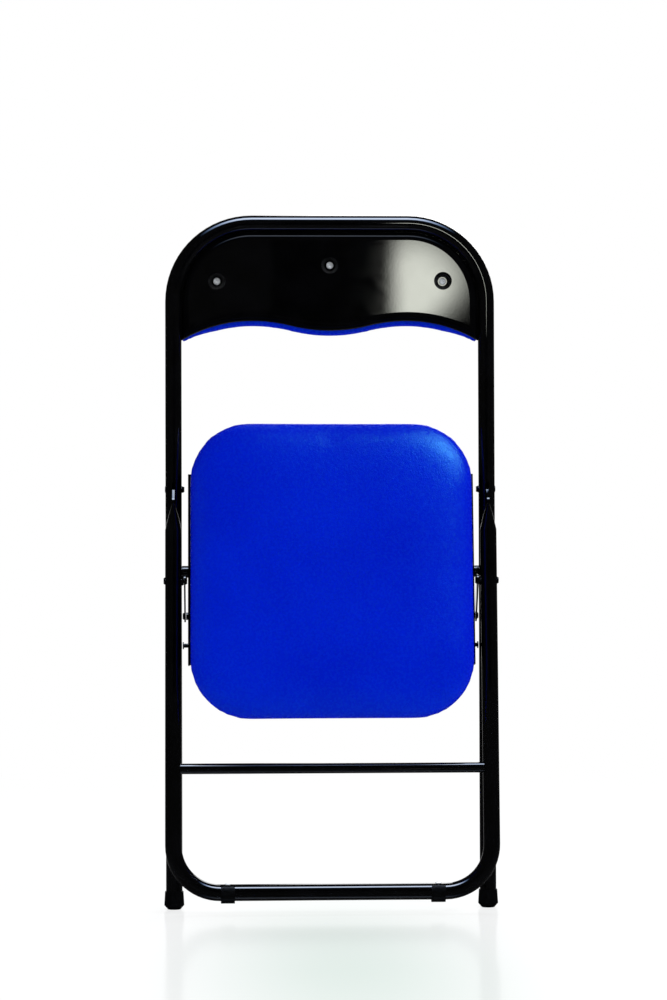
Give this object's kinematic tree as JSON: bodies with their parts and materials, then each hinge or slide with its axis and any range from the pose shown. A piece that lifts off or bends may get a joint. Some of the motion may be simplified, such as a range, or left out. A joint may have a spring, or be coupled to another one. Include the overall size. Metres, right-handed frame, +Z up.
{
  "type": "padded folding chair",
  "caption": "Folding chair of bent black steel tube with a padded blue seat and backrest, standing folded flat on its front feet; the seat, rear leg and links swing open together.",
  "frame": {"origin": "on the floor under the middle of the folded chair's bounding box", "axes": "+Z up, +Y towards the front of the chair, +X to the right as seen from behind, along the seat's pivot bar"},
  "size_m": [0.4478, 0.1297, 0.93],
  "materials": {
    "frame_paint": "glossy black enamel",
    "vinyl": "fine-grained blue vinyl over foam",
    "board": "black painted board",
    "screw_chrome": "bright plated",
    "screw_steel": "zinc plated",
    "foot_rubber": "satin black",
    "bush_plastic": "glossy black"
  },
  "bodies": {
    "front_frame": {"back_frame": "frame_paint", "back_panel": "frame_paint", "back_board": "board", "back_pad": "vinyl", "back_screws": "screw_chrome", "foot_cap_left": "foot_rubber", "foot_cap_right": "foot_rubber", "seat_pivot_bar": "frame_paint", "pivot_sleeves": "bush_plastic", "leg_pivot_rivets": "frame_paint"},
    "rear_leg": {"rear_leg_frame": "frame_paint", "rear_cross_brace": "frame_paint", "rear_glides": "foot_rubber", "link_leg_rivets": "frame_paint", "link_leg_spacers": "bush_plastic"},
    "seat": {"seat_pad": "vinyl", "seat_board": "board", "seat_bracket_left": "frame_paint", "seat_bracket_right": "frame_paint", "seat_bracket_screws": "screw_steel", "stop_pins": "frame_paint", "link_studs": "frame_paint"},
    "links": {"link_left": "frame_paint", "link_right": "frame_paint", "link_stud_heads": "frame_paint"}
  },
  "joints": [
    {"name": "seat_fold", "type": "hinge", "parent": "front_frame", "child": "seat", "pos_m": [0, 0.0273, 0.451], "axis": [-1, 0, 0], "range_deg": [0, 105]},
    {"name": "leg_fold", "type": "hinge", "parent": "front_frame", "child": "rear_leg", "pos_m": [0, 0.0273, 0.5615], "axis": [-1, 0, 0], "range_deg": [0, 44.17]},
    {"name": "link_swing", "type": "hinge", "parent": "rear_leg", "child": "links", "pos_m": [0, -0.0012, 0.439], "axis": [1, 0, 0], "range_deg": [0, 73.94]}
  ],
  "couplings": [
    {"joint": "leg_fold", "follows": "seat_fold", "ratio": 0.42062},
    {"joint": "link_swing", "follows": "seat_fold", "ratio": 0.7041}
  ]
}
